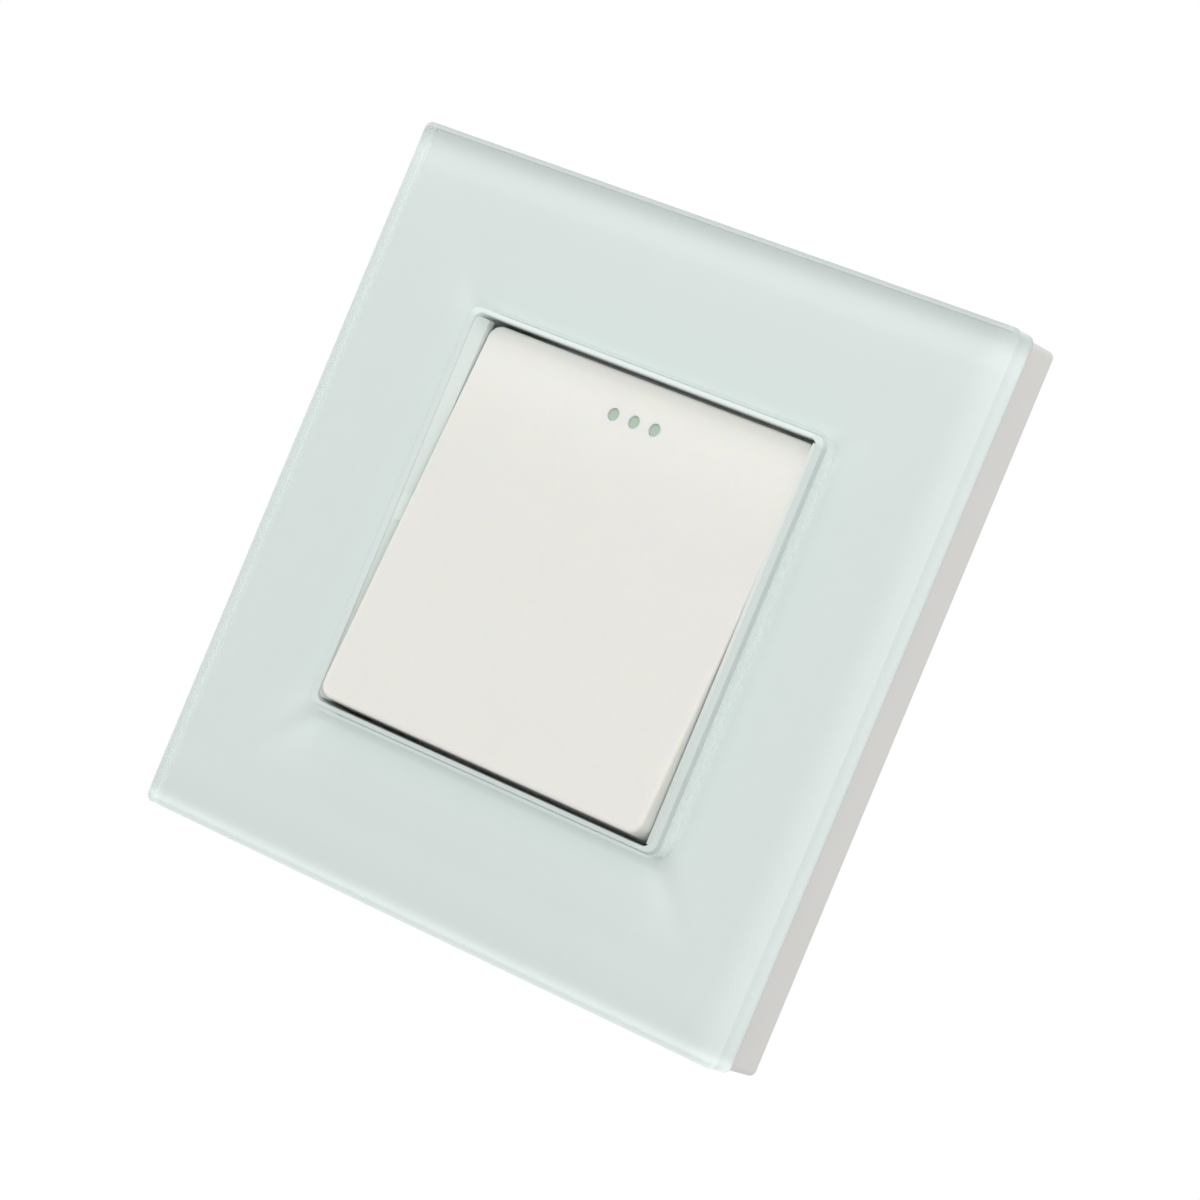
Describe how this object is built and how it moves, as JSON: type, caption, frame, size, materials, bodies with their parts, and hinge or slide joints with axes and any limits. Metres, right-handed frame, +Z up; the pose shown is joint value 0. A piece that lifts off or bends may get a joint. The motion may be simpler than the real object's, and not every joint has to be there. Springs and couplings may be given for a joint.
{
  "type": "two-way light switch",
  "caption": "Flush two-way wall switch with a square glass front plate, a large rocker and screw terminals.",
  "frame": {"origin": "centre of the two wall fixing slots, on the wall plane", "axes": "+X right and +Z up as seen from the room, +Y into the wall; the rocker faces -Y"},
  "size_m": [0.086, 0.0368, 0.086],
  "materials": {
    "clear_glass": "clear, polished arrises",
    "bond_film": "matt white",
    "carrier_plastic": "satin white moulding",
    "ring_plastic": "satin",
    "rocker_plastic": "satin ivory moulding",
    "glow_plastic": "satin night-glow green",
    "stem_plastic": "satin",
    "plunger_plastic": "satin",
    "spring_steel": "drawn wire",
    "contact_brass": "bright",
    "silver_contact": "silver",
    "terminal_brass": "extruded",
    "screw_brass": "yellow zinc plated",
    "base_plastic": "moulded",
    "cover_plastic": "moulded",
    "plated_steel": "zinc plated sheet",
    "screw_steel": "zinc plated",
    "pad_rubber": "matt grey"
  },
  "bodies": {
    "mechanism": {"mounting_yoke": "plated_steel", "mechanism_base": "base_plastic", "mechanism_cover": "cover_plastic", "trim_ring": "ring_plastic", "assembly_screws": "screw_steel", "stop_pads": "pad_rubber", "fixed_contacts": "silver_contact", "common_strip": "contact_brass", "line1_strip": "contact_brass", "line2_strip": "contact_brass", "common_terminal": "terminal_brass", "line1_terminal": "terminal_brass", "line2_terminal": "terminal_brass"},
    "front_plate": {"glass_panel": "clear_glass", "bonding_sheet": "bond_film", "panel_carrier": "carrier_plastic"},
    "rocker": {"rocker_cap": "rocker_plastic", "luminous_insert": "glow_plastic", "rocker_stem": "stem_plastic"},
    "plunger": {"contact_plunger": "plunger_plastic", "plunger_spring": "spring_steel"},
    "lever": {"changeover_lever": "contact_brass", "lever_contacts": "silver_contact"},
    "common_screw": {"common_clamp_screw": "screw_brass"},
    "line1_screw": {"line1_clamp_screw": "screw_brass"},
    "line2_screw": {"line2_clamp_screw": "screw_brass"}
  },
  "joints": [
    {"name": "rocker_tilt", "type": "hinge", "parent": "mechanism", "child": "rocker", "pos_m": [0, -0.00725, 0], "axis": [1, 0, 0], "range_deg": [0, 9.4]},
    {"name": "plunger_slide", "type": "slide", "parent": "rocker", "child": "plunger", "axis": [0, -0.9966, 0.0819], "range_m": [0, 0.0008], "stiffness_N_per_m": 400, "springref_m": -0.0008, "deforming": ["plunger_spring"]},
    {"name": "lever_rock", "type": "hinge", "parent": "mechanism", "child": "lever", "pos_m": [0, 0.00958, 0], "axis": [1, 0, 0], "range_deg": [-15, 0]},
    {"name": "front_plate_pull", "type": "slide", "parent": "mechanism", "child": "front_plate", "axis": [0, -1, 0], "range_m": [0, 0.015]},
    {"name": "common_clamp_feed", "type": "slide", "parent": "mechanism", "child": "common_screw", "axis": [0, -1, 0], "range_m": [0, 0.002]},
    {"name": "line1_clamp_feed", "type": "slide", "parent": "mechanism", "child": "line1_screw", "axis": [0, -1, 0], "range_m": [0, 0.002]},
    {"name": "line2_clamp_feed", "type": "slide", "parent": "mechanism", "child": "line2_screw", "axis": [0, -1, 0], "range_m": [0, 0.002]}
  ],
  "couplings": [
    {"joint": "lever_rock", "follows": "rocker_tilt", "ratio": -1.5957}
  ]
}
